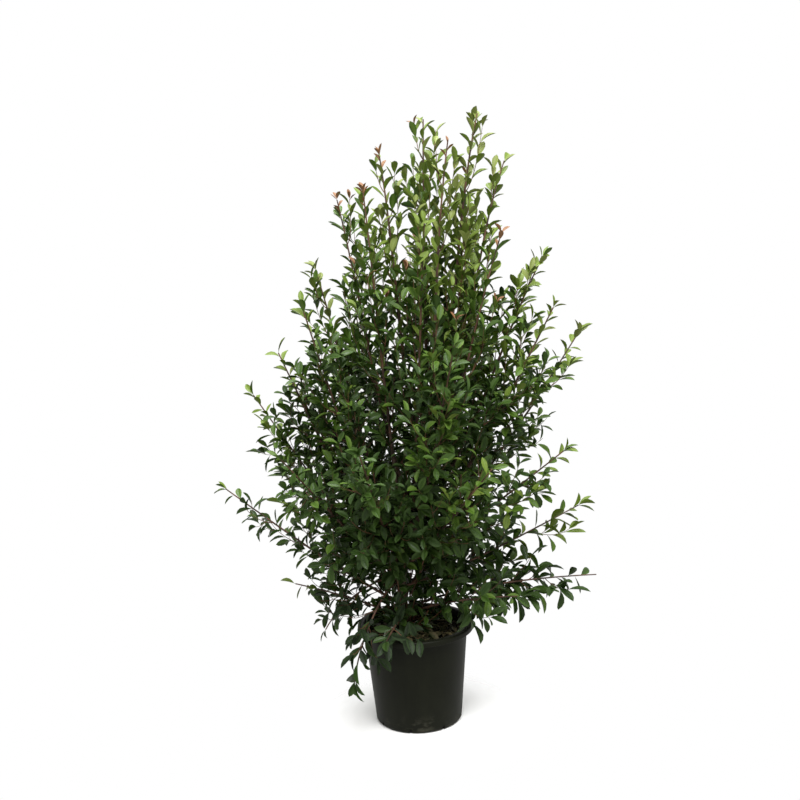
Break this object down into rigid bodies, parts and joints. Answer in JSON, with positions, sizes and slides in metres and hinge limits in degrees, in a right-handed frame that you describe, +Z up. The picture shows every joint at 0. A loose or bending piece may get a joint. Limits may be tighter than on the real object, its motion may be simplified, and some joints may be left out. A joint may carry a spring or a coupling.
{
  "type": "potted shrub",
  "caption": "Bushy evergreen shrub in a round tapered nursery pot: a short leaning trunk, rising boughs and tiers of glossy leaves that spread over the rim.",
  "frame": {"origin": "middle of the pot's flat underside, on the floor", "axes": "+Z up along the pot's axis, +X to the right and +Y to the back as the plant is seen from its front"},
  "size_m": [1.262, 0.9285, 1.9835],
  "materials": {
    "pot": "fine matt texture, near black green grey",
    "soil": "crumbly bark and peat, matt",
    "bark": "dull grey brown bark",
    "leader_foliage": "glossy young leaves, light green",
    "upper_foliage": "glossy leaves, fresh green",
    "middle_foliage": "glossy leaves, mid green",
    "lower_foliage": "glossy leaves, dark green",
    "skirt_foliage": "glossy leaves, deep green",
    "trailing_foliage": "glossy leaves, deep green"
  },
  "bodies": {
    "root": {"pot": "pot", "soil": "soil", "trunk": "bark", "leader_bough_1": "bark", "leader_bough_2": "bark", "leader_bough_3": "bark", "leader_bough_4": "bark", "leader_bough_5": "bark", "leader_bough_6": "bark", "upper_bough_1": "bark", "upper_bough_2": "bark", "upper_bough_3": "bark", "upper_bough_4": "bark", "upper_bough_5": "bark", "upper_bough_6": "bark", "upper_bough_7": "bark", "middle_bough_1": "bark", "middle_bough_2": "bark", "middle_bough_3": "bark", "middle_bough_4": "bark", "middle_bough_5": "bark", "middle_bough_6": "bark", "middle_bough_7": "bark", "leader_foliage_1": "leader_foliage", "leader_foliage_2": "leader_foliage", "leader_foliage_3": "leader_foliage", "leader_foliage_4": "leader_foliage", "leader_foliage_5": "leader_foliage", "leader_foliage_6": "leader_foliage", "upper_foliage_1": "upper_foliage", "upper_foliage_2": "upper_foliage", "upper_foliage_3": "upper_foliage", "upper_foliage_4": "upper_foliage", "upper_foliage_5": "upper_foliage", "upper_foliage_6": "upper_foliage", "upper_foliage_7": "upper_foliage", "middle_foliage_1": "middle_foliage", "middle_foliage_2": "middle_foliage", "middle_foliage_3": "middle_foliage", "middle_foliage_4": "middle_foliage", "middle_foliage_5": "middle_foliage", "middle_foliage_6": "middle_foliage", "middle_foliage_7": "middle_foliage", "lower_foliage_1": "lower_foliage", "lower_foliage_2": "lower_foliage", "lower_foliage_3": "lower_foliage", "lower_foliage_4": "lower_foliage", "lower_foliage_5": "lower_foliage", "lower_foliage_6": "lower_foliage", "lower_foliage_7": "lower_foliage", "lower_foliage_8": "lower_foliage", "lower_foliage_9": "lower_foliage", "lower_foliage_10": "lower_foliage", "skirt_foliage_1": "skirt_foliage", "skirt_foliage_2": "skirt_foliage", "skirt_foliage_3": "skirt_foliage", "skirt_foliage_4": "skirt_foliage", "skirt_foliage_5": "skirt_foliage", "trailing_foliage_1": "trailing_foliage", "trailing_foliage_2": "trailing_foliage"}
  },
  "joints": []
}
